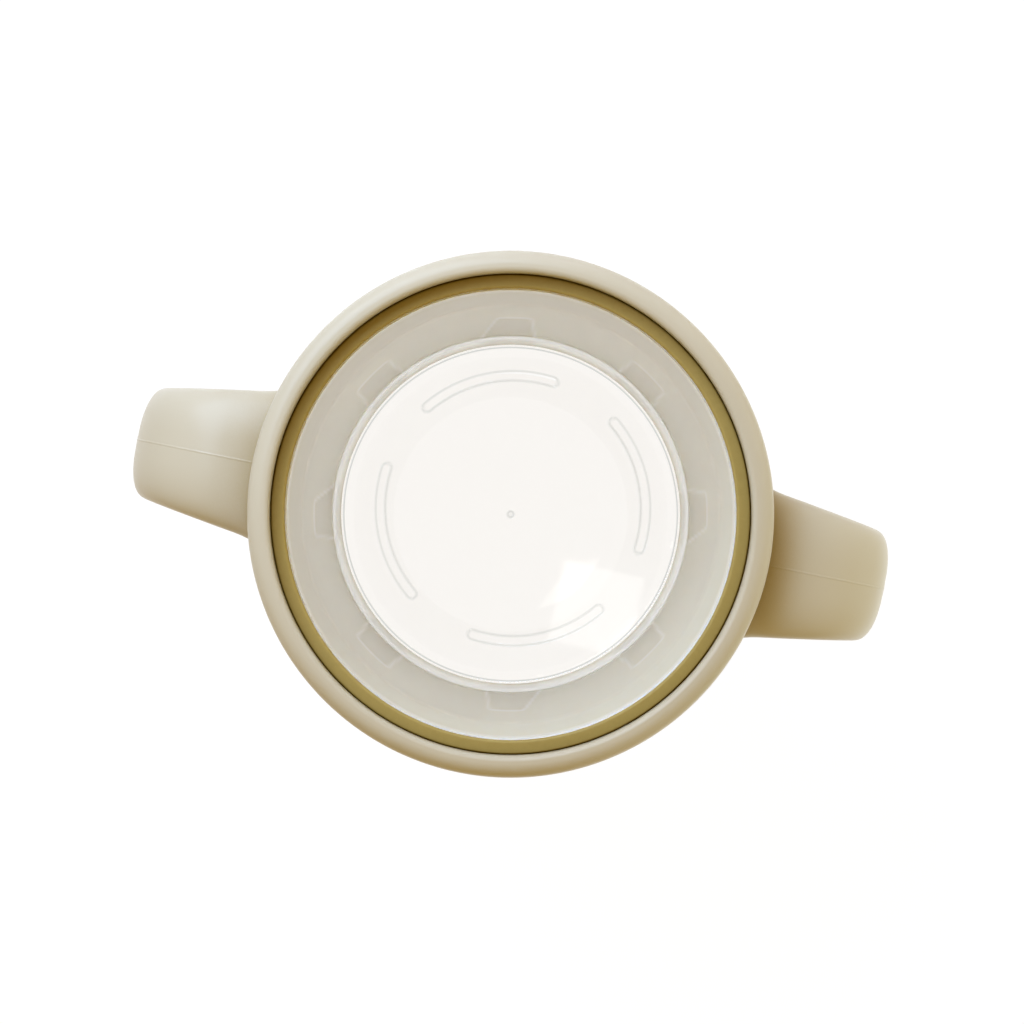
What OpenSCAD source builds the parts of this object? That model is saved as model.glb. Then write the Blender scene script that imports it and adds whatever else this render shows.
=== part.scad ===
/* [Cup] */
// Height of the cup's rim above the table
rim_height = 85; // [75:0.5:100]
// Inside diameter of the cup at its rim
mouth_d = 68.4; // [64:0.2:76]
// Inside diameter of the cup where its wall meets the floor
bottom_d = 59.4; // [54:0.2:62]
// Thickness of the tapered wall
cup_wall = 2; // [1.6:0.1:2.6]
// Thickness of the floor
floor_t = 2.5; // [1.8:0.1:4]
// Height of the polished heel between the floor and the wall, inside
heel_h = 3.5; // [2:0.1:5]
// How far the heel comes in from the wall at the floor
heel_w = 1.3; // [0.8:0.1:2]
// Radius between the heel and the floor
floor_fillet = 0.6; // [0.4:0.1:1]
// Height of the hollow under the floor
foot_lift = 1; // [0.8:0.1:1.4]
// Slope of the hollow's edge
hollow_slope = 30; // [28:1:45]
// Width of the flat ring that the cup stands on
foot_w = 2.8; // [2:0.1:4]
// Radius of the outer corner at the foot
foot_round = 2.5; // [1.5:0.1:4]

/* [Flutes] */
// Number of shallow flutes round the lower wall
flute_count = 8; // [4:4:8]
// Width of one flute at its top
flute_w = 7.4; // [6:0.1:10]
// How far each side of a flute spreads down to the table
flute_draft = 0.7; // [0:0.1:1]
// How far one side of every other flute slants besides, clear of the mould's draw
flute_slant = 2.8; // [0:0.1:3]
// Height of a flute's top above the table
flute_top = 39; // [25:0.5:48]
// Depth of a flute in the outside of the wall
flute_depth = 0.6; // [0.3:0.1:0.8]
// Radius of a flute's two upper corners
flute_round = 2; // [1:0.1:2.2]

/* [Ridges under the base] */
// Number of curved ridges under the floor
arc_count = 4; // [2:1:5]
// Radius of the ridges' middle line
arc_r = 22.3; // [16:0.1:23]
// Width of a ridge
arc_w = 1.6; // [1:0.1:3]
// Height of a ridge, less than the hollow under the floor
arc_h = 0.4; // [0.2:0.1:0.6]
// Angle that a ridge spans between its round ends
arc_span = 58; // [30:1:64]
// Diameter of the moulding point in the middle of the base
gate_d = 0.9; // [0.6:0.1:2]

/* [Neck and thread] */
// Height of the neck between the cup's flange and its rim
neck_h = 17; // [15:0.5:22]
// Thickness of the neck's wall at the rim
neck_wall = 1.7; // [1.4:0.1:2.4]
// Chamfer on the two edges of the rim
rim_edge = 0.3; // [0.2:0.05:0.5]
// Thickness of the flange that carries the handle ring
flange_t = 1.8; // [1.2:0.1:3]
// Depth of the thread
thread_depth = 0.8; // [0.6:0.05:1.2]
// Width of a thread ridge at its root
thread_w = 1.8; // [1.4:0.1:2]
// Width of a thread ridge at its crest
thread_crest = 0.9; // [0.6:0.1:1.2]
// Rise of the collar in one full turn
thread_lead = 8; // [8:0.5:10]
// Number of thread starts
thread_starts = 2; // [2:1:2]
// Angle that one ridge on the neck spans
ridge_span = 160; // [120:5:170]
// Angle that one ridge in the collar spans
lug_span = 100; // [60:5:120]
// Height of the neck ridge's lower end above the handle ring's floor
thread_up = 3.6; // [3.4:0.1:4]

/* [Seal] */
// Thickness of the seal between the rim and the collar
seal_t = 1.8; // [1.6:0.1:2.4]
// Thickness of the seal's flange, which the collar clamps
seal_flange_t = 1; // [0.6:0.1:1.2]
// Gap between the seal's raised inner part and the lip
seal_gap = 0.4; // [0.2:0.05:0.6]
// How far the seal stands back from the inside of the rim
seal_inset = 0.3; // [0.1:0.05:0.5]
// How far the seal reaches under the lip
seal_grip = 1; // [0.6:0.1:1.2]

/* [Collar] */
// Thickness of the collar's skirt outside its thread
skirt_wall = 1.15; // [1:0.05:2]
// Width of the drinking lip
lip_w = 3.4; // [3:0.1:3.8]
// Radius of the lip's inner edge; its outer edge is rounder
lip_inner_round = 0.8; // [0.5:0.1:1.4]
// Width of the flat between the lip's two rounded edges
lip_flat = 0.1; // [0.05:0.05:0.5]
// Height of the lip above the seal
lip_h = 4; // [2.5:0.1:8]
// How far the lip comes down below the rim of the cup
lip_drop = 1; // [0.6:0.1:3]
// How far the lip stands out over the handle ring
lip_overhang = 0.15; // [0:0.05:1]

/* [Handle ring] */
// Thickness of the handle ring's wall
ring_wall = 1.45; // [1.2:0.05:3]
// Thickness of the ring's floor under the collar's skirt
ring_floor = 1.8; // [1.2:0.1:2.4]
// Distance from the cup's axis to the outside of a handle
handle_reach = 59.1; // [54:0.1:70]
// Width of a handle where it leaves the ring
handle_root_w = 22.7; // [18:0.1:28]
// Width of a handle at its grip
handle_w = 17.6; // [14:0.1:22]
// Thickness of a handle where it leaves the ring
handle_root_t = 8.6; // [6:0.1:10]
// Thickness of a handle at its grip
handle_t = 7.4; // [5:0.1:9]
// Height of the ring's top edge above the top of a handle
handle_step = 0.4; // [0.2:0.1:2]
// Radius of a handle's bend, at its middle line
bend_r = 10; // [8:0.5:12]
// Angle that the grip leans back towards the cup
grip_lean = 6; // [0:1:12]
// Length of the straight grip below the bend
grip_l = 20; // [10:0.5:30]

/* [Fits] */
// Radial gap where one piece turns round another
turn_clear = 0.3; // [0.2:0.05:0.5]
// Height of the gap above and below the loose handle ring
lift_clear = 0.3; // [0.2:0.05:0.5]
// Radial gap between the two threads
thread_clear = 0.25; // [0.2:0.05:0.4]
// Extra height between the flanks of the two threads
flank_clear = 0.1; // [0.1:0.05:0.3]

/* [Hidden] */
$fn = 96;
beige = "#cfc5a8";
olive = "#97834f";
clear_plastic = [0.86, 0.85, 0.81, 0.5];

// Inside and outside of the tapered wall
floor_top = foot_lift + floor_t;
mouth_r = mouth_d / 2;
bottom_r = bottom_d / 2;
wall_slope = (mouth_r - bottom_r) / (rim_height - floor_top);
wall_tilt = atan(wall_slope);
function inside_r(z) = bottom_r + wall_slope * (z - floor_top);
function outside_r(z) = inside_r(z) + cup_wall / cos(wall_tilt);

// Radii of the pieces round the neck, from the inside out
neck_r = mouth_r + neck_wall;
crest_r = neck_r + thread_depth;
collar_bore_r = crest_r + thread_clear;
skirt_r = collar_bore_r + skirt_wall;
ring_bore_r = skirt_r + turn_clear;
ring_r = ring_bore_r + ring_wall;
lip_r = ring_r + lip_overhang;
lip_bore_r = lip_r - lip_w;
seal_bore_r = mouth_r + seal_inset;
seal_r = lip_bore_r + seal_grip;

// Heights of the same pieces, from the flange up
flange_top = rim_height - neck_h;
ring_floor_top = flange_top + ring_floor;
skirt_z = ring_floor_top + lift_clear;
lip_z = rim_height - lip_drop;
ring_top = lip_z - lift_clear;
groove_top = rim_height + seal_flange_t;
seal_top = rim_height + seal_t;
lip_top = seal_top + lip_h;

// Cutters run past the faces that they cut
cut_past = 1;

// Thread: both ridges sink a little into the wall that carries them
thread_sink = 0.4;
ridge_z = ring_floor_top + thread_up;
lug_z = ridge_z - (thread_w + thread_crest) / 2 - flank_clear;
lug_lag = 20;
thread_step = 5;

// The pattern of the base and flutes is turned against the handles
pattern_turn = 11.25;

// Handle: the strap starts inside the ring's wall, so that it joins it over its whole width
root_sink = 2.5;
root_x = ring_bore_r - root_sink;
bend_x = handle_reach - handle_t / 2 - bend_r;
strap_z = ring_top - handle_step - handle_root_t / 2;
bend_end = -90 - grip_lean;
section_points = 20;
section_power = 2.6;
bend_steps = 12;
tip_steps = 5;

// Points on an arc, for a rounded corner of a profile
function arc(center, r, from, to, steps = 8) =
    [for (i = [0:steps]) let (a = from + (to - from) * i / steps) center + r * [cos(a), sin(a)]];

// Solid through a row of closed rings, which all have as many points
module sweep(rings) {
    k = len(rings[0]);
    last = (len(rings) - 1) * k;
    sides = [
        for (i = [0:len(rings) - 2], j = [0:k - 1])
            let (a = i * k + j, b = i * k + (j + 1) % k)
                each [[a, b, a + k], [b, b + k, a + k]]
    ];
    first_cap = [for (j = [1:k - 2]) [0, j + 1, j]];
    last_cap = [for (j = [1:k - 2]) [last, last + j, last + j + 1]];
    polyhedron([for (ring = rings) each ring], concat(sides, first_cap, last_cap));
}

// One thread ridge that climbs from angle 0, on a wall of radius root_r
module thread_ridge(root_r, tip_r, z, span) {
    profile = [
        [root_r, -thread_w / 2],
        [tip_r, -thread_crest / 2],
        [tip_r, thread_crest / 2],
        [root_r, thread_w / 2],
    ];
    outward = tip_r > root_r ? profile : [for (i = [3:-1:0]) profile[i]];
    sweep([
        for (a = [0:thread_step:span])
            [for (p = outward) [p.x * cos(a), p.x * sin(a), z + thread_lead * a / 360 + p.y]]
    ]);
}

// The same ridge at every thread start
module thread_ridges(root_r, tip_r, z, span) {
    for (i = [0:thread_starts - 1])
        rotate(360 * i / thread_starts)
            thread_ridge(root_r, tip_r, z, span);
}

// Half section of the cup, from the middle of the base round to the floor
function cup_profile() =
    let (
        foot_c = [outside_r(foot_round) - foot_round / cos(wall_tilt), foot_round],
        foot_in = foot_c.x - foot_w,
        hollow_r = foot_in - foot_lift / tan(hollow_slope),
        heel_top = floor_top + heel_h,
        heel_r = bottom_r - heel_w,
        heel_tilt = atan((inside_r(heel_top) - heel_r) / heel_h),
        fillet_c = [heel_r - floor_fillet * tan((90 - heel_tilt) / 2), floor_top + floor_fillet],
        flange_z = flange_top - flange_t,
        // The flange's underside runs out to the wall at 45 degrees
        flare = (skirt_r - outside_r(flange_z)) / (1 - wall_slope)
    )
    concat(
        [[0, foot_lift], [hollow_r, foot_lift], [foot_in, 0]],
        arc(foot_c, foot_round, -90, -wall_tilt),
        [
            [outside_r(flange_z - flare), flange_z - flare],
            [skirt_r, flange_z],
            [skirt_r, flange_top],
            [neck_r, flange_top],
            [neck_r, rim_height - rim_edge],
            [neck_r - rim_edge, rim_height],
            [mouth_r + rim_edge, rim_height],
            [inside_r(rim_height - rim_edge), rim_height - rim_edge],
            [inside_r(heel_top), heel_top],
        ],
        arc(fillet_c, floor_fillet, -heel_tilt, -90),
        [[0, floor_top]]
    );

// Cutter for one flute: a skin of the outer wall inside a window with round upper corners.
// slant_low and slant_high are 1 where that side slants
module flute(slant_low, slant_high) {
    bottom = -cut_past;
    top = flute_top + cut_past;
    lean = flute_slant / 2;
    half = flute_w / 2;
    low = half + flute_draft + slant_low * lean;
    high = half + flute_draft + slant_high * lean;
    low_c = [flute_round - half + slant_low * lean, flute_top - flute_round];
    high_c = [half - slant_high * lean - flute_round, flute_top - flute_round];
    intersection() {
        rotate_extrude()
            polygon([
                [outside_r(bottom) - flute_depth, bottom],
                [outside_r(top) - flute_depth, top],
                [outside_r(top) + cut_past, top],
                [outside_r(bottom) + cut_past, bottom],
            ]);
        rotate([90, 0, 90])
            linear_extrude(2 * outside_r(flute_top))
                polygon(concat(
                    [[-low, bottom], [high, bottom]],
                    arc(high_c, flute_round, 0, 90, 6),
                    arc(low_c, flute_round, 90, 180, 6)
                ));
    }
}

// Curved ridge with round ends, centred on the X axis
module base_arc() {
    half = arc_span / 2;
    translate([0, 0, foot_lift - arc_h])
        linear_extrude(arc_h + floor_t / 2) {
            intersection() {
                difference() {
                    circle(arc_r + arc_w / 2);
                    circle(arc_r - arc_w / 2);
                }
                polygon([[0, 0], for (a = [-half, 0, half]) 2 * arc_r * [cos(a), sin(a)]]);
            }
            for (a = [-half, half])
                translate(arc_r * [cos(a), sin(a)])
                    circle(arc_w / 2);
        }
}

module cup_body() {
    color(clear_plastic) {
        difference() {
            rotate_extrude()
                polygon(cup_profile());
            for (i = [0:flute_count - 1])
                rotate(pattern_turn + 360 * i / flute_count)
                    flute(i % 4 == 0 ? 1 : 0, i % 4 == 2 ? 1 : 0);
        }
        for (i = [0:arc_count - 1])
            rotate(2 * pattern_turn + 360 * i / arc_count)
                base_arc();
        translate([0, 0, foot_lift - arc_h])
            cylinder(d = gate_d, h = arc_h + floor_t / 2);
        thread_ridges(neck_r - thread_sink, crest_r, ridge_z, ridge_span);
    }
}

// Stepped washer: the collar clamps its flange, and its raised inner part shows inside the lip
module seal_ring() {
    edge = seal_t / 4;
    step_r = lip_bore_r - seal_gap;
    color(olive)
        rotate_extrude()
            polygon(concat(
                [
                    [seal_bore_r + edge, rim_height],
                    [seal_r, rim_height],
                    [seal_r, groove_top],
                    [step_r, groove_top],
                    [step_r, seal_top],
                ],
                arc([seal_bore_r + edge, seal_top - edge], edge, 90, 180),
                arc([seal_bore_r + edge, rim_height + edge], edge, 180, 270)
            ));
}

// Half section of the collar: skirt outside, round lip on top, groove for the seal inside
function collar_profile() =
    let (
        outer_round = lip_w - lip_inner_round - lip_flat,
        inner_c = [lip_bore_r + lip_inner_round, lip_top - lip_inner_round],
        groove_r = seal_r + turn_clear
    )
    concat(
        [[collar_bore_r, skirt_z], [skirt_r, skirt_z], [skirt_r, lip_z], [lip_r, lip_z]],
        arc([lip_r - outer_round, lip_top - outer_round], outer_round, 0, 90, 12),
        arc(inner_c, lip_inner_round, 90, 180, 6),
        [
            [lip_bore_r, groove_top],
            [groove_r, groove_top],
            [groove_r, rim_height],
            [collar_bore_r, rim_height],
        ]
    );

module lip_collar() {
    color(beige) {
        rotate_extrude()
            polygon(collar_profile());
        rotate(lug_lag)
            thread_ridges(
                collar_bore_r + thread_sink,
                neck_r + thread_clear,
                lug_z + thread_lead * lug_lag / 360,
                lug_span
            );
    }
}

// Closed section of the strap at one station of its path: position, heading, width, thickness
function strap_ring(x, z, heading, width, thickness) = [
    for (i = [0:section_points - 1])
        let (
            a = -360 * i / section_points,
            side = sign(cos(a)) * pow(abs(cos(a)), 2 / section_power) * width / 2,
            up = sign(sin(a)) * pow(abs(sin(a)), 2 / section_power) * thickness / 2
        )
        [x - up * sin(heading), side, z + up * cos(heading)]
];

// Width of the strap at a distance from the axis
function strap_w(x) =
    let (share = (x - ring_r) / (bend_x + bend_r - ring_r))
    handle_root_w + (handle_w - handle_root_w) * share;

// Thickness of the strap along the bend, from its root to its grip
function strap_t(share) = handle_root_t + (handle_t - handle_root_t) * share;

module handle() {
    bend_z = strap_z - bend_r;
    grip_x = bend_x - bend_r * sin(bend_end);
    grip_z = bend_z + bend_r * cos(bend_end);
    root = [
        for (x = [root_x, (root_x + bend_x) / 2])
            strap_ring(x, strap_z, 0, strap_w(x), handle_root_t)
    ];
    bend = [
        for (i = [0:bend_steps])
            let (
                heading = bend_end * i / bend_steps,
                x = bend_x - bend_r * sin(heading),
                z = bend_z + bend_r * cos(heading)
            )
            strap_ring(x, z, heading, strap_w(x), strap_t(i / bend_steps))
    ];
    // The grip runs on from the bend and ends in a tip as round as the strap is thick
    tip = [
        for (i = [0:tip_steps])
            let (
                turn = 80 * i / tip_steps,
                along = grip_l + handle_t / 2 * sin(turn),
                shrink = handle_t * (1 - cos(turn))
            )
            strap_ring(
                grip_x + along * cos(bend_end),
                grip_z + along * sin(bend_end),
                bend_end,
                handle_w - shrink,
                handle_t - shrink
            )
    ];
    sweep(concat(root, bend, tip));
}

module handle_ring() {
    color(beige)
        difference() {
            union() {
                translate([0, 0, flange_top])
                    cylinder(r = ring_r, h = ring_top - flange_top);
                for (side = [0, 180])
                    rotate(side)
                        handle();
            }
            translate([0, 0, ring_floor_top])
                cylinder(r = ring_bore_r, h = rim_height);
            translate([0, 0, flange_top - cut_past])
                cylinder(r = neck_r + turn_clear, h = rim_height);
        }
}

cup_body();
seal_ring();
lip_collar();
handle_ring();
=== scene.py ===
"""Looks of a two-handled training cup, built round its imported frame.

The sizes named here are in millimetres and degrees. The lamps, the floor and the materials are in metres.
"""
import math

import bpy
import numpy as np
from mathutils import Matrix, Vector


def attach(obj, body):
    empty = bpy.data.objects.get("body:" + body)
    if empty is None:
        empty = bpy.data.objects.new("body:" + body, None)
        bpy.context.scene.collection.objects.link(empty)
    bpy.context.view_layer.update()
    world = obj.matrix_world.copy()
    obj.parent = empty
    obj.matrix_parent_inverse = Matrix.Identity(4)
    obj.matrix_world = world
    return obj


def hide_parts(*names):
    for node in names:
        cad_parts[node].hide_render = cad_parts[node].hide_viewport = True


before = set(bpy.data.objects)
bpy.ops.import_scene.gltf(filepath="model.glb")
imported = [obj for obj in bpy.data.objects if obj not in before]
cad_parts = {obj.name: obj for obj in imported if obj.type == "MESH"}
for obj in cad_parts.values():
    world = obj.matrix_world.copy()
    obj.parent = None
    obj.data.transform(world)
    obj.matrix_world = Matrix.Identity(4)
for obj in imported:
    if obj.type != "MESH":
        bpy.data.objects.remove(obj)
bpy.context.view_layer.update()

MM = 0.001

# Cup
RIM_Z = 85.0
MOUTH_R = 34.2
BOTTOM_R = 29.7
CUP_WALL = 2.0
FLOOR_T = 2.5
HEEL_H = 3.5
HEEL_W = 1.3
FLOOR_FILLET = 0.6
FOOT_LIFT = 1.0
HOLLOW_R = 19.0
FOOT_W = 2.8
FOOT_ROUND = 2.5
FLOOR_Z = FOOT_LIFT + FLOOR_T
HEEL_TOP = FLOOR_Z + HEEL_H
WALL_SLOPE = (MOUTH_R - BOTTOM_R) / (RIM_Z - FLOOR_Z)
WALL_TILT = math.degrees(math.atan(WALL_SLOPE))
WALL_SKEW = CUP_WALL / math.cos(math.radians(WALL_TILT))

# Flutes low on the wall, and the pattern under the base
PATTERN_TURN = 11.25
FLUTES = 8
FLUTE_W = 7.4
FLUTE_DRAFT = 0.7
FLUTE_SLANT = 2.8
FLUTE_TOP = 39.0
FLUTE_DEPTH = 0.6
FLUTE_RUNOUT = 5.0
FLUTE_EDGE = 1.2
FLUTE_END = FLUTE_TOP + FLUTE_RUNOUT
ARCS = 4
ARC_R = 22.3
ARC_SHIFT = (0.4, 1.0)
ARC_W = 1.6
ARC_H = 0.3
ARC_SPAN = 58.0
ARC_EDGE = 0.75
GATE_R = 0.45
GATE_ROWS_R = 1.0
GATE_STEP = 0.08

# Neck, thread and the pieces round it
EDGE = 0.3
NECK_R = 35.9
FLANGE_TOP = 68.0
FLANGE_T = 1.8
THREAD_DEPTH = 0.8
THREAD_W = 1.8
THREAD_CREST = 0.9
THREAD_LEAD = 8.0
THREAD_STARTS = 2
THREAD_FADE = 8.0
RIDGE_SPAN = 160.0
RIDGE_Z = 73.4
RIDGE_LOW = RIDGE_Z - 1.5
RIDGE_HIGH = RIDGE_Z + 5.5
LUG_SPAN = 100.0
LUG_LAG = 20.0
LUG_Z = 71.95
LUG_HIGH = LUG_Z + 5.0
LUG_CLEAR = 0.25
COLLAR_BORE_R = 36.95
BORE_CHAMFER = 0.05
SKIRT_R = 38.1
SKIRT_Z = 70.1
RING_BORE_R = 38.4
RING_R = 39.85
RING_FLOOR_TOP = 69.8
RING_TOP = 83.7
RING_EDGE = 0.35
LIP_R = 40.0
LIP_W = 3.4
LIP_INNER_ROUND = 0.95
LIP_FLAT = 0.25
LIP_Z = 84.0
LIP_TOP = 90.8
SEAL_BORE_R = 34.4
SEAL_R = 37.6
SEAL_TOP = 86.8
SEAL_GAP = 0.13
SEAL_EDGE = 0.25
SEAL_BORE_EDGE = 0.45
SEAL_CORNER = 0.15
SEAL_STEP = 0.3
GROOVE_TOP = 86.0
GROOVE_EDGE = 0.2
TURN_CLEAR = 0.3

# Handles, along a path out from the ring, round the bend and down the grip
HANDLE_REACH = 59.1
HANDLE_ROOT_W = 22.7
HANDLE_W = 17.6
HANDLE_ROOT_T = 8.6
HANDLE_T = 7.4
HANDLE_STEP = 0.4
BEND_R = 10.0
GRIP_LEAN = 6.0
GRIP_L = 20.0
GRIP_END_TURN = 88.0
SECTION_POWER = 2.6
SECTION_STEP = 5.0
SECTION_STEPS = 17
SEAM_W = 0.16
SEAM_H = 0.06
SEAM_STEPS = 4
ROOT_X = RING_BORE_R + 0.6
ROOT_FLARE = 0.7
ROOT_FLARE_L = 0.9
ROOT_FLARE_T = 0.3
BEND_X = HANDLE_REACH - HANDLE_T / 2.0 - BEND_R
STRAP_Z = RING_TOP - HANDLE_STEP - HANDLE_ROOT_T / 2.0
BEND_Z = STRAP_Z - BEND_R
BEND_END = -90.0 - GRIP_LEAN

# How many points each mesh has round the axis or along a handle
CUP_SEGMENTS = 400
RING_SEGMENTS = 360
SEAL_SEGMENTS = 256
ROOT_STEPS = 12
BEND_STEPS = 40
GRIP_STEPS = 8
GRIP_END_STEPS = 12

# Haze of the cup's wall, and the painted highlights and painted dark lines that stand for the light at its
# edges
WALL_CLEAR = 0.4
HEEL_CLEAR = 0.56
OPAQUE_Z = 58.0
OPAQUE_FADE = 6.0
HAZE_FOOT_Z = 1.0
HAZE_LEAD = 0.1
HAZE_EDGE = 0.15
HEEL_LEAD = 0.15
HEEL_DROP = 0.3
HEEL_EDGE = 0.8
FLOOR_PAINTED_DARK = (-0.14, 0.11)
FLOOR_PAINTED_LIGHT = (0.16, 0.42)
LINE_EDGE = 0.1
NEAR = 0.1
RIM_BAND = 1.5
FLUTE_HIGHLIGHT = 2.0
RIDGE_DARK_EDGE = 2.6

# Colours in linear light
BEIGE = ((0.57, 0.53, 0.43), (0.59, 0.55, 0.45))
# Painted shade: browner beige where other surfaces close off the light
BEIGE_PAINTED_SHADE = (0.33, 0.22, 0.05)
OLIVE = ((0.395, 0.297, 0.085), (0.43, 0.323, 0.095))
# Painted shade: near black where the lip closes off the light over the washer
OLIVE_PAINTED_SHADE = (0.20, 0.135, 0.02)
TONE_STOPS = (0.3, 0.7)
WALL_DENSE = (0.61, 0.57, 0.41)
WALL_HAZY = (0.705, 0.66, 0.485)
BASE_CLEAR = (0.94, 0.915, 0.88)
FLUTE_TINT = (0.615, 0.565, 0.40)
# Painted highlight and painted glow at the cup's edges, and painted dark lines where its edges bend the
# light
PAINTED_HIGHLIGHT = (0.99, 0.97, 0.93)
PAINTED_DARK_EDGE = (0.45, 0.47, 0.45)
WHITE = (1.0, 1.0, 1.0)
FLOOR_GREY = (0.80, 0.80, 0.80)
WORLD_WARM = (1.0, 0.64, 0.06)

# Surfaces
BEIGE_ROUGHNESS = (0.28, 0.36)
SEAL_ROUGHNESS = (0.5, 0.65)
CUP_ROUGHNESS = (0.02, 0.22)
BUMP_DEPTH = 0.00006
PLASTIC_IOR = 1.5
SILICONE_IOR = 1.41

# Stage
WORLD_STRENGTH = 0.50
FLOOR_HALF = 1.5
FLOOR_GLOW = 1.07
FLOOR_SEEN = 0.92
LAMP_TARGET = (0.0, 0.0, 0.05)

# The camera looks straight down on the axis, turned against the handles
IMAGE_PX = 1024
SENSOR_W = 36.0
CAMERA_ABOVE_LIP = 800.0
CAMERA_TURN = 11.3
LIP_EDGE_PX = 264.3
CENTRE_PX = (510.6, 514.2)


def inside_r(z):
    """Radius of the inside of the tapered wall at a height."""
    return BOTTOM_R + WALL_SLOPE * (z - FLOOR_Z)


def outside_r(z):
    """Radius of the outside of the tapered wall at a height."""
    return inside_r(z) + WALL_SKEW


def on_inside(z):
    """Point of the cup's section on the inside of the wall."""
    return (inside_r(z), z)


def on_outside(z):
    """Point of the cup's section on the outside of the wall."""
    return (outside_r(z), z)


def smooth(x):
    """Smooth step from 0 to 1."""
    x = np.clip(x, 0.0, 1.0)
    return x * x * (3.0 - 2.0 * x)


def band(x, start, end, soft):
    """1 between start and end, with soft sides, else 0."""
    return smooth((x - start) / soft + 0.5) * smooth((end - x) / soft + 0.5)


def run(a, b, step, zone="plain"):
    """Profile points from a up to, but not including, b."""
    count = max(1, round(math.dist(a, b) / step))
    across = b[0] - a[0]
    up = b[1] - a[1]
    return [(a[0] + across * i / count, a[1] + up * i / count, zone) for i in range(count)]


def arc(centre, r, start, end, steps, zone="plain"):
    """Profile points on an arc, from start to end in degrees."""
    angles = [math.radians(start + (end - start) * i / steps) for i in range(steps + 1)]
    return [(centre[0] + r * math.cos(a), centre[1] + r * math.sin(a), zone) for a in angles]


def add_mesh(name, points, faces, body, nodes, material):
    """Smooth mesh piece, from points in millimetres, that rides on a body and stands for CAD nodes."""
    mesh = bpy.data.meshes.new(name)
    mesh.from_pydata([tuple(p) for p in np.asarray(points) * MM], [], faces)
    mesh.validate()
    mesh.shade_smooth()
    piece = bpy.data.objects.new(name, mesh)
    bpy.context.collection.objects.link(piece)
    mesh.materials.append(material)
    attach(piece, body)
    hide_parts(*nodes)
    return piece


def quads(count, size, offset=0, closed=False):
    """Faces between rings with size points each. closed also joins the last ring to the first."""
    faces = []
    for i in range(count if closed else count - 1):
        a = offset + i * size
        b = offset + (i + 1) % count * size
        for j in range(size):
            k = (j + 1) % size
            faces.append((a + j, a + k, b + k, b + j))
    return faces


def revolve(profile, segments, shape=None, poles=False):
    """Points and faces of a profile turned round Z. shape moves the points of each zone; poles closes the
    profile on the axis at both ends, instead of joining its last row to its first."""
    turn = np.linspace(0.0, 2.0 * math.pi, segments, endpoint=False)
    rows = profile[1:-1] if poles else profile
    points = []
    for r, z, zone in rows:
        rr = np.full(segments, r)
        zz = np.full(segments, z)
        if shape:
            rr, zz = shape(turn, rr, zz, zone)
        points.append(np.stack([rr * np.cos(turn), rr * np.sin(turn), zz], axis=1))
    faces = quads(len(rows), segments, closed=not poles)
    if poles:
        pole = len(rows) * segments
        last_row = pole - segments
        points.append(np.array([[0.0, 0.0, profile[0][1]], [0.0, 0.0, profile[-1][1]]]))
        for j in range(segments):
            k = (j + 1) % segments
            faces.append((pole, k, j))
            faces.append((pole + 1, last_row + j, last_row + k))
    return np.concatenate(points), faces


def helix(turn, z, start_z, span, lag=0.0):
    """Height of the thread's ridges at points of a wall, from 0 to 1 at the crest."""
    height = np.zeros_like(z)
    flank = (THREAD_W - THREAD_CREST) / 2.0
    for i in range(THREAD_STARTS):
        a = (np.degrees(turn) - lag - 360.0 * i / THREAD_STARTS) % 360.0
        centre = start_z + THREAD_LEAD * (a + lag) / 360.0
        ridge = np.clip((THREAD_W / 2.0 - np.abs(z - centre)) / flank, 0.0, 1.0)
        height = np.maximum(height, ridge * smooth(a / THREAD_FADE) * smooth((span - a) / THREAD_FADE))
    return height


def flute_mask(turn, z):
    """How far a point of the wall lies in a flute, from 0 outside to 1 inside. One side of every other
    flute slants, by turns the one and the other."""
    pitch = 360.0 / FLUTES
    number = np.round((np.degrees(turn) - PATTERN_TURN) / pitch)
    across = np.radians(np.degrees(turn) - PATTERN_TURN - number * pitch) * outside_r(z)
    drop = 1.0 - z / FLUTE_TOP
    half = FLUTE_W / 2.0 + FLUTE_DRAFT * drop
    slant = FLUTE_SLANT / 2.0 * (2.0 * drop - 1.0)
    low = half + slant * (number % 4 == 0)
    high = half + slant * (number % 4 == 2)
    near_side = np.minimum(across + low, high - across)
    return smooth(near_side / FLUTE_EDGE + 0.5) * smooth((FLUTE_TOP - z) / FLUTE_RUNOUT + 0.5)


def arc_mask(turn, r):
    """How far a point under the base lies on a ridge or on the moulding point, from 0 to 1. The ridges'
    circle lies a little off the axis, by ARC_SHIFT to the right and up in the photograph."""
    pitch = 360.0 / ARCS
    view = turn - math.radians(CAMERA_TURN)
    x = r * np.cos(view) - ARC_SHIFT[0]
    y = r * np.sin(view) - ARC_SHIFT[1]
    ridge_r = np.hypot(x, y)
    a = np.degrees(np.arctan2(y, x)) + CAMERA_TURN - 2.0 * PATTERN_TURN
    a = a - np.round(a / pitch) * pitch
    past = np.maximum(np.abs(a) - ARC_SPAN / 2.0, 0.0)
    along = np.radians(past) * ridge_r
    inside = ARC_W / 2.0 - np.hypot(along, ridge_r - ARC_R)
    gate = GATE_R - r
    return np.maximum(smooth(inside / ARC_EDGE + 0.5), smooth(gate / ARC_EDGE + 0.5))


def cup_shape(turn, r, z, zone):
    """Moves the points of the cup: ridges under the base, flutes on the wall and the thread on the neck."""
    if zone == "under":
        return r, z - ARC_H * arc_mask(turn, r)
    if zone == "outer":
        return r - FLUTE_DEPTH * flute_mask(turn, z), z
    if zone == "neck":
        return r + THREAD_DEPTH * helix(turn, z, RIDGE_Z, RIDGE_SPAN), z
    return r, z


def foot_centre():
    """Centre of the round between the foot ring and the wall."""
    return (outside_r(FOOT_ROUND) - FOOT_ROUND / math.cos(math.radians(WALL_TILT)), FOOT_ROUND)


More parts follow.
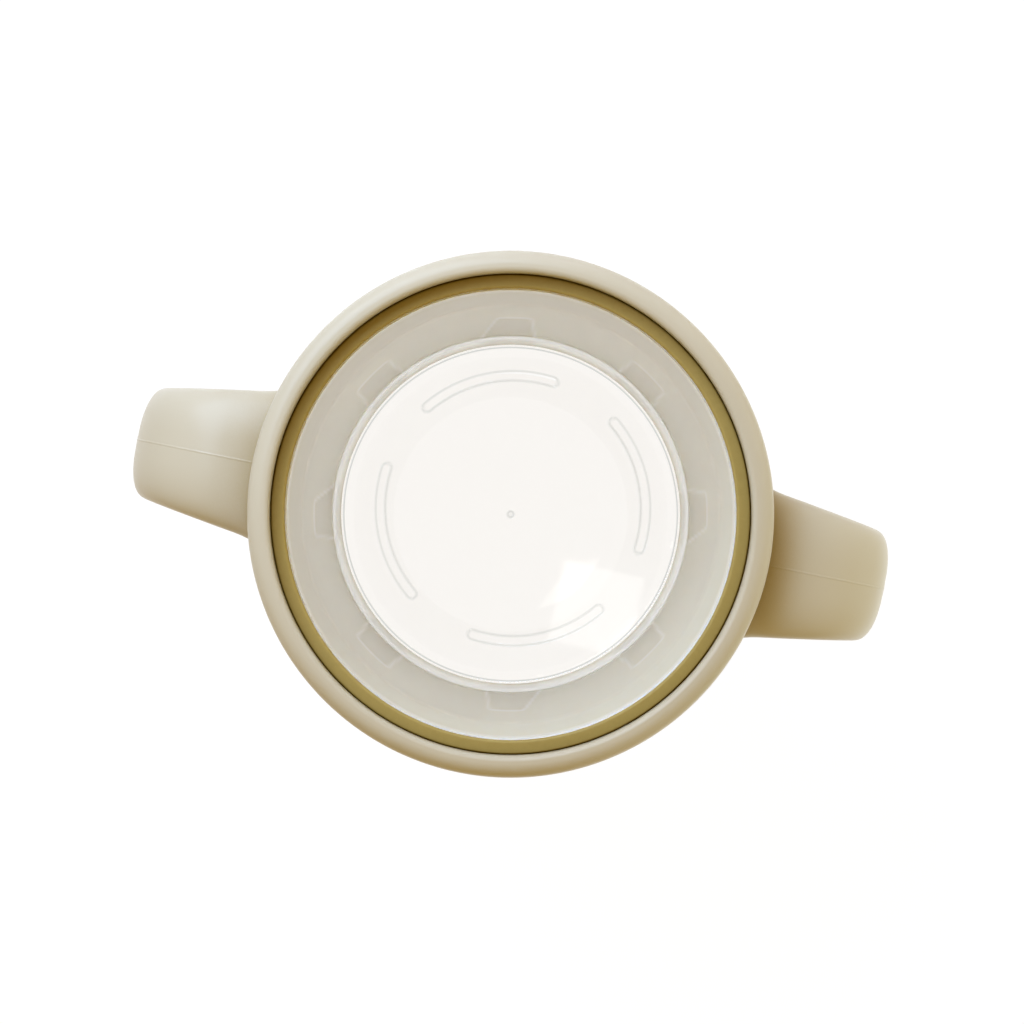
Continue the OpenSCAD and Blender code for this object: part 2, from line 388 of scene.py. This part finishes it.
def heel_fillet():
    """Slope of the heel from upright, and the centre and upper end of the fillet at its foot."""
    heel_r = BOTTOM_R - HEEL_W
    tilt = math.atan((inside_r(HEEL_TOP) - heel_r) / HEEL_H)
    centre = (heel_r - FLOOR_FILLET * math.tan((math.pi / 2.0 - tilt) / 2.0), FLOOR_Z + FLOOR_FILLET)
    end = (centre[0] + FLOOR_FILLET * math.cos(tilt), centre[1] - FLOOR_FILLET * math.sin(tilt))
    return math.degrees(tilt), centre, end


def base_profile():
    """Hollow underside, from the middle to the foot ring, with close rows at the moulding point and the
    ridges."""
    foot_in = foot_centre()[0] - FOOT_W
    reach = ARC_W + math.hypot(*ARC_SHIFT)
    rows = (
        run((GATE_STEP, 0.0), (GATE_ROWS_R, 0.0), step=GATE_STEP)
        + run((GATE_ROWS_R, 0.0), (ARC_R - reach, 0.0), step=3.0)
        + run((ARC_R - reach, 0.0), (ARC_R + reach, 0.0), step=0.15)
        + run((ARC_R + reach, 0.0), (foot_in, 0.0), step=0.4)
    )
    radii = [row[0] for row in rows]
    lift = [FOOT_LIFT * float(smooth((foot_in - r) / (foot_in - HOLLOW_R))) for r in radii]
    return [(0.0, FOOT_LIFT, "under")] + [(r, z, "under") for r, z in zip(radii, lift)]


def outer_profile():
    """Outside, from the foot ring up the wall, over the flange and up the threaded neck to the rim."""
    flange_z = FLANGE_TOP - FLANGE_T
    flare_z = flange_z - (SKIRT_R - outside_r(flange_z)) / (1.0 - WALL_SLOPE)
    return (
        arc(foot_centre(), FOOT_ROUND, -90, -WALL_TILT, steps=10, zone="outer")[:-1]
        + run(on_outside(FOOT_ROUND), on_outside(FLUTE_END), step=1.5, zone="outer")
        + run(on_outside(FLUTE_END), on_outside(flare_z), step=2.0)
        + run(on_outside(flare_z), (SKIRT_R - EDGE, flange_z - EDGE), step=1.0)
        + arc((SKIRT_R - EDGE, flange_z + EDGE), EDGE, -45, 0, steps=4)
        + arc((SKIRT_R - EDGE, FLANGE_TOP - EDGE), EDGE, 0, 90, steps=4)
        + [(NECK_R + EDGE, FLANGE_TOP, "plain")]
        + run((NECK_R, FLANGE_TOP + EDGE), (NECK_R, RIDGE_LOW), step=1.0, zone="neck")
        + run((NECK_R, RIDGE_LOW), (NECK_R, RIDGE_HIGH), step=0.3, zone="neck")
        + run((NECK_R, RIDGE_HIGH), (NECK_R, RIM_Z - EDGE), step=1.0)
        + arc((NECK_R - EDGE, RIM_Z - EDGE), EDGE, 0, 90, steps=5)
    )


def inner_profile():
    """Inside, from the rim down the wall and the heel to the middle of the floor, with close rows where the
    floor's lines lie."""
    heel_tilt, fillet, fillet_end = heel_fillet()
    close_r = fillet[0] - 0.5
    return (
        arc((MOUTH_R + EDGE, RIM_Z - EDGE), EDGE, 90, 180, steps=5)
        + run(on_inside(RIM_Z - 1.0), on_inside(FLUTE_END), step=4.0)
        + run(on_inside(FLUTE_END), on_inside(HEEL_TOP), step=1.5)
        + run(on_inside(HEEL_TOP), fillet_end, step=0.35)
        + arc(fillet, FLOOR_FILLET, -heel_tilt, -90, steps=14)[:-1]
        + run((fillet[0], FLOOR_Z), (close_r, FLOOR_Z), step=0.05)
        + run((close_r, FLOOR_Z), (0.5, FLOOR_Z), step=3.0)
        + [(0.0, FLOOR_Z, "plain")]
    )


def cup_layers(points):
    """What the mesh carries at its points: haze, how far light passes bent and straight, thin wall in the
    flutes, and painted highlights and painted dark lines for the light that the edges of the flutes,
    ridges, heel, floor and rim catch and bend, with a painted glow on the rim."""
    radius = np.hypot(points[:, 0], points[:, 1])
    turn = np.arctan2(points[:, 1], points[:, 0])
    z = points[:, 2]
    outer = radius > inside_r(z) + CUP_WALL / 2.0
    inner = 1.0 - outer
    _, fillet, fillet_end = heel_fillet()
    hazy_inside = smooth((radius - fillet_end[0] + HAZE_LEAD) / HAZE_EDGE + 0.5) * (z > FLOOR_Z)
    haze = np.where(outer, smooth(z - HAZE_FOOT_Z), hazy_inside)
    thin = haze * flute_mask(turn, z)
    # The ridges' edges get a painted dark line, the flutes' edges a painted highlight
    ridge = np.where(z < FOOT_LIFT + NEAR, arc_mask(turn, radius), 0.0) * (1.0 - haze)
    # Painted dark line and painted highlight on the floor beside the fillet
    dark = band(radius, fillet[0] + FLOOR_PAINTED_DARK[0], fillet[0] + FLOOR_PAINTED_DARK[1], LINE_EDGE)
    floor_painted_dark = dark * (z > FLOOR_Z - NEAR) * inner
    light = band(radius, fillet[0] + FLOOR_PAINTED_LIGHT[0], fillet[0] + FLOOR_PAINTED_LIGHT[1], LINE_EDGE)
    floor_painted_light = light * (z > FLOOR_Z) * inner
    above_floor = np.clip(radius - fillet_end[0] + HEEL_LEAD, 0.0, 1.0)
    # The heel band is partly see-through and also gets a painted light
    heel = above_floor * smooth((HEEL_TOP - HEEL_DROP - z) / HEEL_EDGE + 0.5) * inner * haze
    # Painted glow along the rim's edge
    rim = smooth(z - RIM_Z + RIM_BAND)
    clear = 1.0 - haze * (1.0 - WALL_CLEAR * (1.0 - smooth((z - OPAQUE_Z) / OPAQUE_FADE)))
    return {
        "haze": haze,
        "clear": clear,
        "cover": 1.0 - HEEL_CLEAR * heel,
        "flute": thin,
        "painted_highlight": np.maximum.reduce([FLUTE_HIGHLIGHT * thin * (1.0 - thin) * haze, heel, floor_painted_light, rim]),
        "painted_dark_edge": np.maximum(RIDGE_DARK_EDGE * ridge * (1.0 - ridge), floor_painted_dark),
    }


def add_cup():
    """Cup with its flutes, ridges and thread, and the layers that its material reads."""
    profile = base_profile() + outer_profile() + inner_profile()
    points, faces = revolve(profile, CUP_SEGMENTS, cup_shape, poles=True)
    piece = add_mesh("cup_shell", points, faces, "cup", ["cup_body"], cup_material())
    for name, values in cup_layers(points).items():
        attribute = piece.data.attributes.new(name, "FLOAT", "POINT")
        attribute.data.foreach_set("value", values.astype(np.float32))


def add_seal():
    """Stepped washer: a flange in the collar's groove and a raised face inside the lip."""
    step_r = LIP_R - LIP_W - SEAL_GAP
    face_r = step_r - SEAL_EDGE
    bore_r = SEAL_BORE_R + SEAL_BORE_EDGE
    profile = (
        arc((SEAL_R - SEAL_CORNER, GROOVE_TOP - SEAL_CORNER), SEAL_CORNER, 0, 90, steps=4)
        + [(step_r, GROOVE_TOP, "plain")]
        + arc((face_r, SEAL_TOP - SEAL_EDGE), SEAL_EDGE, 0, 90, steps=6)
        + run((face_r - SEAL_STEP, SEAL_TOP), (bore_r, SEAL_TOP), step=SEAL_STEP)
        + arc((bore_r, SEAL_TOP - SEAL_BORE_EDGE), SEAL_BORE_EDGE, 90, 180, steps=8)
        + arc((bore_r, RIM_Z + SEAL_BORE_EDGE), SEAL_BORE_EDGE, 180, 270, steps=8)
        + arc((SEAL_R - SEAL_CORNER, RIM_Z + SEAL_CORNER), SEAL_CORNER, -90, 0, steps=4)
    )
    points, faces = revolve(profile, SEAL_SEGMENTS)
    add_mesh("seal_washer", points, faces, "seal", ["seal_ring"], seal_material())


def collar_shape(turn, r, z, zone):
    """Moves the points of the collar's bore in, to the lugs of its thread."""
    if zone == "bore":
        return r - (COLLAR_BORE_R - NECK_R - LUG_CLEAR) * helix(turn, z, LUG_Z, LUG_SPAN, LUG_LAG), z
    return r, z


def collar_profile():
    """Half section of the collar: skirt, drinking lip, groove for the seal and threaded bore."""
    lip_round = LIP_W - LIP_INNER_ROUND - LIP_FLAT
    lip_bore = LIP_R - LIP_W
    round_low = LIP_TOP - LIP_INNER_ROUND
    groove_r = SEAL_R + TURN_CLEAR
    return (
        arc((SKIRT_R - EDGE, SKIRT_Z + EDGE), EDGE, -90, 0, steps=4)
        + run((SKIRT_R, SKIRT_Z + 1.0), (SKIRT_R, LIP_Z - 0.2), step=3.0)
        + [(SKIRT_R, LIP_Z, "plain")]
        + arc((LIP_R - EDGE, LIP_Z + EDGE), EDGE, -90, 0, steps=5)
        + run((LIP_R, LIP_Z + 0.8), (LIP_R, LIP_TOP - lip_round), step=0.8)
        + arc((LIP_R - lip_round, LIP_TOP - lip_round), lip_round, 0, 90, steps=24)
        + arc((lip_bore + LIP_INNER_ROUND, round_low), LIP_INNER_ROUND, 90, 180, steps=16)
        + run((lip_bore, round_low - 0.5), (lip_bore, GROOVE_TOP + 0.25), step=0.5)
        + arc((lip_bore + GROOVE_EDGE, GROOVE_TOP + GROOVE_EDGE), GROOVE_EDGE, 180, 270, steps=4)
        + [(groove_r, GROOVE_TOP, "plain"), (groove_r, RIM_Z, "plain"), (COLLAR_BORE_R, RIM_Z, "plain")]
        + run((COLLAR_BORE_R, RIM_Z - 0.5), (COLLAR_BORE_R, LUG_HIGH), step=2.0, zone="bore")
        + run((COLLAR_BORE_R, LUG_HIGH), (COLLAR_BORE_R, SKIRT_Z + EDGE), step=0.25, zone="bore")
        + [(COLLAR_BORE_R + BORE_CHAMFER, SKIRT_Z, "plain")]
    )


def add_collar():
    """Screw collar with the drinking lip."""
    points, faces = revolve(collar_profile(), RING_SEGMENTS, collar_shape)
    material = beige_material("collar_beige")
    add_mesh("drinking_collar", points, faces, "collar", ["lip_collar"], material)


def seam_angle(side):
    """Angle round the strap's section at which it lies a distance to one side of the middle line."""
    share = abs(2.0 * side / HANDLE_W) ** (SECTION_POWER / 2.0)
    return math.degrees(math.acos(math.copysign(share, -side)))


def strap_section():
    """Angles round the strap's section, with close points at the moulding seam on its middle line."""
    fine = [seam_angle(SEAM_W * k / 2.0) for k in range(-SEAM_STEPS, SEAM_STEPS + 1)]
    coarse = [i * SECTION_STEP for i in range(SECTION_STEPS)]
    half = coarse + fine + [180.0 - a for a in reversed(coarse)]
    return [math.radians(a) for a in half] + [math.radians(a + 180.0) for a in half[1:-1]]


def squarish(value):
    """Sine or cosine of the strap's section, which is squarer than an ellipse."""
    return math.copysign(abs(value) ** (2.0 / SECTION_POWER), value)


def strap_ring(x, z, heading, width, thickness, root_r=None):
    """One closed ring of the strap. A ring with root_r lies on the round wall of the handle ring."""
    points = []
    for a in strap_section():
        side = squarish(math.cos(a)) * width / 2.0
        up = squarish(math.sin(a)) * thickness / 2.0
        seam = max(0.0, 1.0 - abs(side) / SEAM_W)
        up += math.copysign(SEAM_H * seam, up)
        px = x - up * math.sin(heading)
        if root_r:
            px += math.sqrt(root_r ** 2 - side ** 2) - root_r
        points.append((px, side, z + up * math.cos(heading)))
    return points


def strap_width(x):
    """Width of the strap at a distance from the axis."""
    share = (x - RING_R) / (BEND_X + BEND_R - RING_R)
    return HANDLE_ROOT_W + (HANDLE_W - HANDLE_ROOT_W) * share


def root_rings():
    """Rings of the strap from the handle ring to the bend. The curved root turns into a plane section."""
    rings = []
    for i in range(ROOT_STEPS):
        share = i / ROOT_STEPS
        x = ROOT_X + (BEND_X - ROOT_X) * share
        flare = ROOT_FLARE * math.exp(-max(x - RING_R, 0.0) / ROOT_FLARE_L)
        width = strap_width(x) + flare
        thickness = HANDLE_ROOT_T + flare * ROOT_FLARE_T
        rings.append(strap_ring(x, STRAP_Z, 0.0, width, thickness, ROOT_X / (1.0 - share) ** 2))
    return rings


def bend_rings():
    """Rings of the strap round the bend, where it gets thinner."""
    rings = []
    for i in range(BEND_STEPS + 1):
        heading = math.radians(BEND_END) * i / BEND_STEPS
        x = BEND_X - BEND_R * math.sin(heading)
        z = BEND_Z + BEND_R * math.cos(heading)
        thickness = HANDLE_ROOT_T + (HANDLE_T - HANDLE_ROOT_T) * i / BEND_STEPS
        rings.append(strap_ring(x, z, heading, strap_width(x), thickness))
    return rings


def grip_rings():
    """Rings of the strap down the grip and over its round end."""
    stations = [(GRIP_L * i / GRIP_STEPS, 0.0) for i in range(1, GRIP_STEPS)]
    for i in range(GRIP_END_STEPS + 1):
        turn = math.radians(GRIP_END_TURN * i / GRIP_END_STEPS)
        stations.append((GRIP_L + HANDLE_T / 2.0 * math.sin(turn), HANDLE_T * (1.0 - math.cos(turn))))
    heading = math.radians(BEND_END)
    rings = []
    for along, shrink in stations:
        x = BEND_X - BEND_R * math.sin(heading) + along * math.cos(heading)
        z = BEND_Z + BEND_R * math.cos(heading) + along * math.sin(heading)
        rings.append(strap_ring(x, z, heading, HANDLE_W - shrink, HANDLE_T - shrink))
    return rings


def handle_ring_profile():
    """Half section of the ring that carries the handles, with a floor that rests on the cup's flange."""
    outer_r = RING_R - RING_EDGE
    bore_r = RING_BORE_R + RING_EDGE
    floor_r = NECK_R + TURN_CLEAR + RING_EDGE
    return (
        arc((outer_r, FLANGE_TOP + RING_EDGE), RING_EDGE, -90, 0, steps=5)
        + run((RING_R, FLANGE_TOP + 1.0), (RING_R, RING_TOP - RING_EDGE), step=2.0)
        + arc((outer_r, RING_TOP - RING_EDGE), RING_EDGE, 0, 90, steps=5)
        + arc((bore_r, RING_TOP - RING_EDGE), RING_EDGE, 90, 180, steps=5)
        + run((RING_BORE_R, RING_TOP - 1.0), (RING_BORE_R, RING_FLOOR_TOP + 0.2), step=2.0)
        + [(RING_BORE_R, RING_FLOOR_TOP, "plain")]
        + arc((floor_r, RING_FLOOR_TOP - RING_EDGE), RING_EDGE, 90, 180, steps=5)
        + arc((floor_r, FLANGE_TOP + RING_EDGE), RING_EDGE, 180, 270, steps=5)
    )


def add_handles():
    """Handle ring with its two straps, the second turned half round."""
    points, faces = revolve(handle_ring_profile(), RING_SEGMENTS)
    rings = np.array(root_rings() + bend_rings() + grip_rings())
    count, size, _ = rings.shape
    for sign in (1.0, -1.0):
        first = len(points)
        last = first + (count - 1) * size
        points = np.concatenate([points, rings.reshape(-1, 3) * np.array([sign, sign, 1.0])])
        faces += quads(count, size, first)
        faces.append(tuple(first + j for j in reversed(range(size))))
        faces.append(tuple(last + j for j in range(size)))
    material = beige_material("handle_beige")
    add_mesh("handle_ring_shell", points, faces, "handles", ["handle_ring"], material)


def new_material(name):
    """Material with nodes, and its main shader."""
    material = bpy.data.materials.new(name)
    material.use_nodes = True
    nodes = material.node_tree.nodes
    return material, nodes, material.node_tree.links, nodes["Principled BSDF"]


def add_noise(nodes, links, place, scale, detail):
    """Noise in the piece's own coordinates."""
    noise = nodes.new("ShaderNodeTexNoise")
    noise.inputs["Scale"].default_value = scale
    noise.inputs["Detail"].default_value = detail
    links.new(place.outputs["Object"], noise.inputs["Vector"])
    return noise.outputs["Fac"]


def fine_texture(nodes, links, shader, place, scale, strength):
    """Fine moulded texture: noise as a bump. Gives the noise."""
    noise = add_noise(nodes, links, place, scale, detail=3.0)
    bump = nodes.new("ShaderNodeBump")
    bump.inputs["Strength"].default_value = strength
    bump.inputs["Distance"].default_value = BUMP_DEPTH
    links.new(noise, bump.inputs["Height"])
    links.new(bump.outputs["Normal"], shader.inputs["Normal"])
    return noise


def ramp(nodes, links, source, stops):
    """Colour ramp from a list of (position, colour)."""
    node = nodes.new("ShaderNodeValToRGB")
    elements = node.color_ramp.elements
    while len(elements) < len(stops):
        elements.new(0.5)
    for element, (position, colour) in zip(elements, stops):
        element.position = position
        element.color = (*colour, 1.0)
    links.new(source, node.inputs["Fac"])
    return node.outputs["Color"]


def map_range(nodes, links, source, low, high):
    """Linear change of a value from 0..1 to low..high."""
    node = nodes.new("ShaderNodeMapRange")
    node.inputs["To Min"].default_value = low
    node.inputs["To Max"].default_value = high
    links.new(source, node.inputs["Value"])
    return node.outputs["Result"]


def layer(nodes, name):
    """Value that the mesh carries at its points."""
    node = nodes.new("ShaderNodeAttribute")
    node.attribute_name = name
    return node.outputs["Fac"]


def tinted(nodes, links, colour, tint, share):
    """Mixes a colour with a tint by a share from 0 to 1."""
    mix = nodes.new("ShaderNodeMix")
    mix.data_type = "RGBA"
    mix.inputs["B"].default_value = (*tint, 1.0)
    links.new(share, mix.inputs["Factor"])
    links.new(colour, mix.inputs["A"])
    return mix.outputs["Result"]


def shade_in_gaps(nodes, links, colour, shade_colour, reach, closed=0.0, free=1.0):
    """Paints shade: turns a colour to a darker shade colour where other surfaces within reach close off the
    light, all shade colour at the open share that closed gives and all plain at free."""
    open_share = nodes.new("ShaderNodeAmbientOcclusion")
    open_share.samples = 8
    open_share.inputs["Distance"].default_value = reach
    share = nodes.new("ShaderNodeMapRange")
    share.inputs["From Min"].default_value = closed
    share.inputs["From Max"].default_value = free
    links.new(open_share.outputs["AO"], share.inputs["Value"])
    mix = nodes.new("ShaderNodeMix")
    mix.data_type = "RGBA"
    mix.inputs["A"].default_value = (*shade_colour, 1.0)
    links.new(share.outputs["Result"], mix.inputs["Factor"])
    links.new(colour, mix.inputs["B"])
    return mix.outputs["Result"]


def beige_material(name):
    """Satin moulded plastic, with painted shade: a browner colour where other surfaces close off the light.
    """
    material, nodes, links, shader = new_material(name)
    place = nodes.new("ShaderNodeTexCoord")
    noise = fine_texture(nodes, links, shader, place, scale=2600.0, strength=0.06)
    mottle = add_noise(nodes, links, place, scale=45.0, detail=2.0)
    colour = ramp(nodes, links, mottle, list(zip(TONE_STOPS, BEIGE)))
    # Painted shade in gaps and corners, from how much light the surroundings let in
    colour = shade_in_gaps(nodes, links, colour, BEIGE_PAINTED_SHADE, reach=0.012, closed=0.35, free=0.9)
    links.new(colour, shader.inputs["Base Color"])
    links.new(map_range(nodes, links, noise, *BEIGE_ROUGHNESS), shader.inputs["Roughness"])
    shader.inputs["Specular IOR Level"].default_value = 0.29
    shader.inputs["IOR"].default_value = PLASTIC_IOR
    return material


def seal_material():
    """Matt olive silicone, with painted shade in its crevice."""
    material, nodes, links, shader = new_material("olive_silicone")
    place = nodes.new("ShaderNodeTexCoord")
    noise = fine_texture(nodes, links, shader, place, scale=1400.0, strength=0.08)
    colour = ramp(nodes, links, noise, list(zip(TONE_STOPS, OLIVE)))
    # Painted shade in the crevice under the lip
    colour = shade_in_gaps(nodes, links, colour, OLIVE_PAINTED_SHADE, reach=0.004)
    links.new(colour, shader.inputs["Base Color"])
    links.new(map_range(nodes, links, noise, *SEAL_ROUGHNESS), shader.inputs["Roughness"])
    shader.inputs["IOR"].default_value = SILICONE_IOR
    return material


def cup_material():
    """Clear plastic: polished at the base, hazy on the wall, with a tint where the flutes make it thin, and
    painted highlights and painted dark lines at its edges.
    """
    material, nodes, links, shader = new_material("clear_plastic")
    clear = layer(nodes, "clear")
    colour = ramp(nodes, links, clear, [(0.0, WALL_DENSE), (WALL_CLEAR, WALL_HAZY), (1.0, BASE_CLEAR)])
    colour = tinted(nodes, links, colour, FLUTE_TINT, layer(nodes, "flute"))
    # Painted highlights and painted dark lines from the mesh's layers
    colour = tinted(nodes, links, colour, PAINTED_HIGHLIGHT, layer(nodes, "painted_highlight"))
    colour = tinted(nodes, links, colour, PAINTED_DARK_EDGE, layer(nodes, "painted_dark_edge"))
    links.new(colour, shader.inputs["Base Color"])
    links.new(map_range(nodes, links, layer(nodes, "haze"), *CUP_ROUGHNESS), shader.inputs["Roughness"])
    links.new(clear, shader.inputs["Transmission Weight"])
    links.new(layer(nodes, "cover"), shader.inputs["Alpha"])
    shader.inputs["Subsurface Weight"].default_value = 0.7
    shader.inputs["Subsurface Radius"].default_value = (1.0, 0.8, 0.6)
    shader.inputs["Subsurface Scale"].default_value = 0.004
    shader.inputs["IOR"].default_value = PLASTIC_IOR
    return material


def seen_share(nodes, links, share):
    """A share for rays that show the surface: to the camera, in a reflection or through clear plastic."""
    path = nodes.new("ShaderNodeLightPath")
    seen = path.outputs["Is Camera Ray"]
    for ray in ("Is Glossy Ray", "Is Transmission Ray"):
        either = nodes.new("ShaderNodeMath")
        either.operation = "MAXIMUM"
        links.new(seen, either.inputs[0])
        links.new(path.outputs[ray], either.inputs[1])
        seen = either.outputs[0]
    return map_range(nodes, links, seen, 0.0, share)


def floor_material():
    """White to the camera, also through the clear base, with a faint shadow of the object."""
    material = bpy.data.materials.new("white_floor")
    material.use_nodes = True
    nodes, links = material.node_tree.nodes, material.node_tree.links
    nodes.clear()
    out = nodes.new("ShaderNodeOutputMaterial")
    white = nodes.new("ShaderNodeEmission")
    white.inputs["Color"].default_value = (*WHITE, 1.0)
    white.inputs["Strength"].default_value = FLOOR_GLOW
    plain = nodes.new("ShaderNodeBsdfDiffuse")
    plain.inputs["Color"].default_value = (*FLOOR_GREY, 1.0)
    mix = nodes.new("ShaderNodeMixShader")
    links.new(seen_share(nodes, links, FLOOR_SEEN), mix.inputs["Fac"])
    links.new(plain.outputs[0], mix.inputs[1])
    links.new(white.outputs[0], mix.inputs[2])
    links.new(mix.outputs[0], out.inputs["Surface"])
    return material


def add_floor():
    """Wide floor under the cup. It casts no shadow, so that a lamp below can shine through it."""
    corners = [(FLOOR_HALF * x, FLOOR_HALF * y, 0) for x, y in ((-1, -1), (1, -1), (1, 1), (-1, 1))]
    mesh = bpy.data.meshes.new("studio_floor")
    mesh.from_pydata(corners, [], [(0, 1, 2, 3)])
    floor = bpy.data.objects.new("studio_floor", mesh)
    bpy.context.collection.objects.link(floor)
    mesh.materials.append(floor_material())
    floor.visible_shadow = False


def add_lamp(name, turn, rise, distance, size, energy, colour=WHITE, roll=0.0, mirrored=True):
    """Soft square lamp, given by its turn in the image, its height angle and its distance in metres."""
    lamp = bpy.data.lights.new(name, "AREA")
    lamp.energy = energy
    lamp.size = size
    lamp.color = colour
    obj = bpy.data.objects.new(name, lamp)
    bpy.context.collection.objects.link(obj)
    around = math.radians(turn + CAMERA_TURN)
    up = math.radians(rise)
    reach = distance * math.cos(up)
    obj.location = (reach * math.cos(around), reach * math.sin(around), distance * math.sin(up))
    obj.rotation_euler = (Vector(LAMP_TARGET) - obj.location).to_track_quat("-Z", "Y").to_euler()
    obj.rotation_euler.rotate_axis("Z", math.radians(roll))
    obj.visible_glossy = mirrored


def add_world():
    """Warm light from all round that shows as white."""
    world = bpy.data.worlds.new("studio_world")
    bpy.context.scene.world = world
    world.use_nodes = True
    nodes, links = world.node_tree.nodes, world.node_tree.links
    light = nodes["Background"]
    light.inputs["Color"].default_value = (*WORLD_WARM, 1.0)
    light.inputs["Strength"].default_value = WORLD_STRENGTH
    white = nodes.new("ShaderNodeBackground")
    white.inputs["Color"].default_value = (*WHITE, 1.0)
    mix = nodes.new("ShaderNodeMixShader")
    links.new(seen_share(nodes, links, 1.0), mix.inputs["Fac"])
    links.new(light.outputs[0], mix.inputs[1])
    links.new(white.outputs[0], mix.inputs[2])
    links.new(mix.outputs[0], nodes["World Output"].inputs["Surface"])


def add_camera():
    """Camera above the axis, framed so that the lip and the centre fall on their pixels."""
    camera = bpy.data.cameras.new("photo_camera")
    obj = bpy.data.objects.new("photo_camera", camera)
    bpy.context.collection.objects.link(obj)
    obj.location = (0.0, 0.0, (LIP_TOP + CAMERA_ABOVE_LIP) * MM)
    obj.rotation_euler = (0.0, 0.0, math.radians(CAMERA_TURN))
    camera.sensor_width = SENSOR_W
    frame_mm = LIP_R / LIP_EDGE_PX * IMAGE_PX
    camera.lens = SENSOR_W * CAMERA_ABOVE_LIP / frame_mm
    camera.shift_x = (IMAGE_PX / 2.0 - CENTRE_PX[0]) / IMAGE_PX
    camera.shift_y = (CENTRE_PX[1] - IMAGE_PX / 2.0) / IMAGE_PX
    bpy.context.scene.camera = obj


bpy.context.scene.view_settings.view_transform = "Standard"
add_camera()
add_world()
add_floor()
add_lamp("panel_lamp", turn=-48.0, rise=87.6, distance=1.2, size=0.032, energy=0.006, roll=35.0)
add_lamp("key_lamp", turn=122.0, rise=55.0, distance=0.36, size=0.25, energy=0.98,
         colour=(0.68, 0.88, 1.20))
add_lamp("fill_lamp", turn=-8.0, rise=6.0, distance=0.6, size=0.25, energy=1.7,
         colour=(0.76, 0.92, 1.03), mirrored=False)
# Light that a white table throws up onto the sides
add_lamp("table_lamp", turn=0.0, rise=-90.0, distance=0.4, size=1.2, energy=9.0,
         colour=(0.80, 0.92, 1.15), mirrored=False)
add_lamp("edge_lamp", turn=80.0, rise=15.0, distance=0.6, size=0.3, energy=0.34, colour=(0.95, 0.95, 1.3))
add_cup()
add_seal()
add_collar()
add_handles()
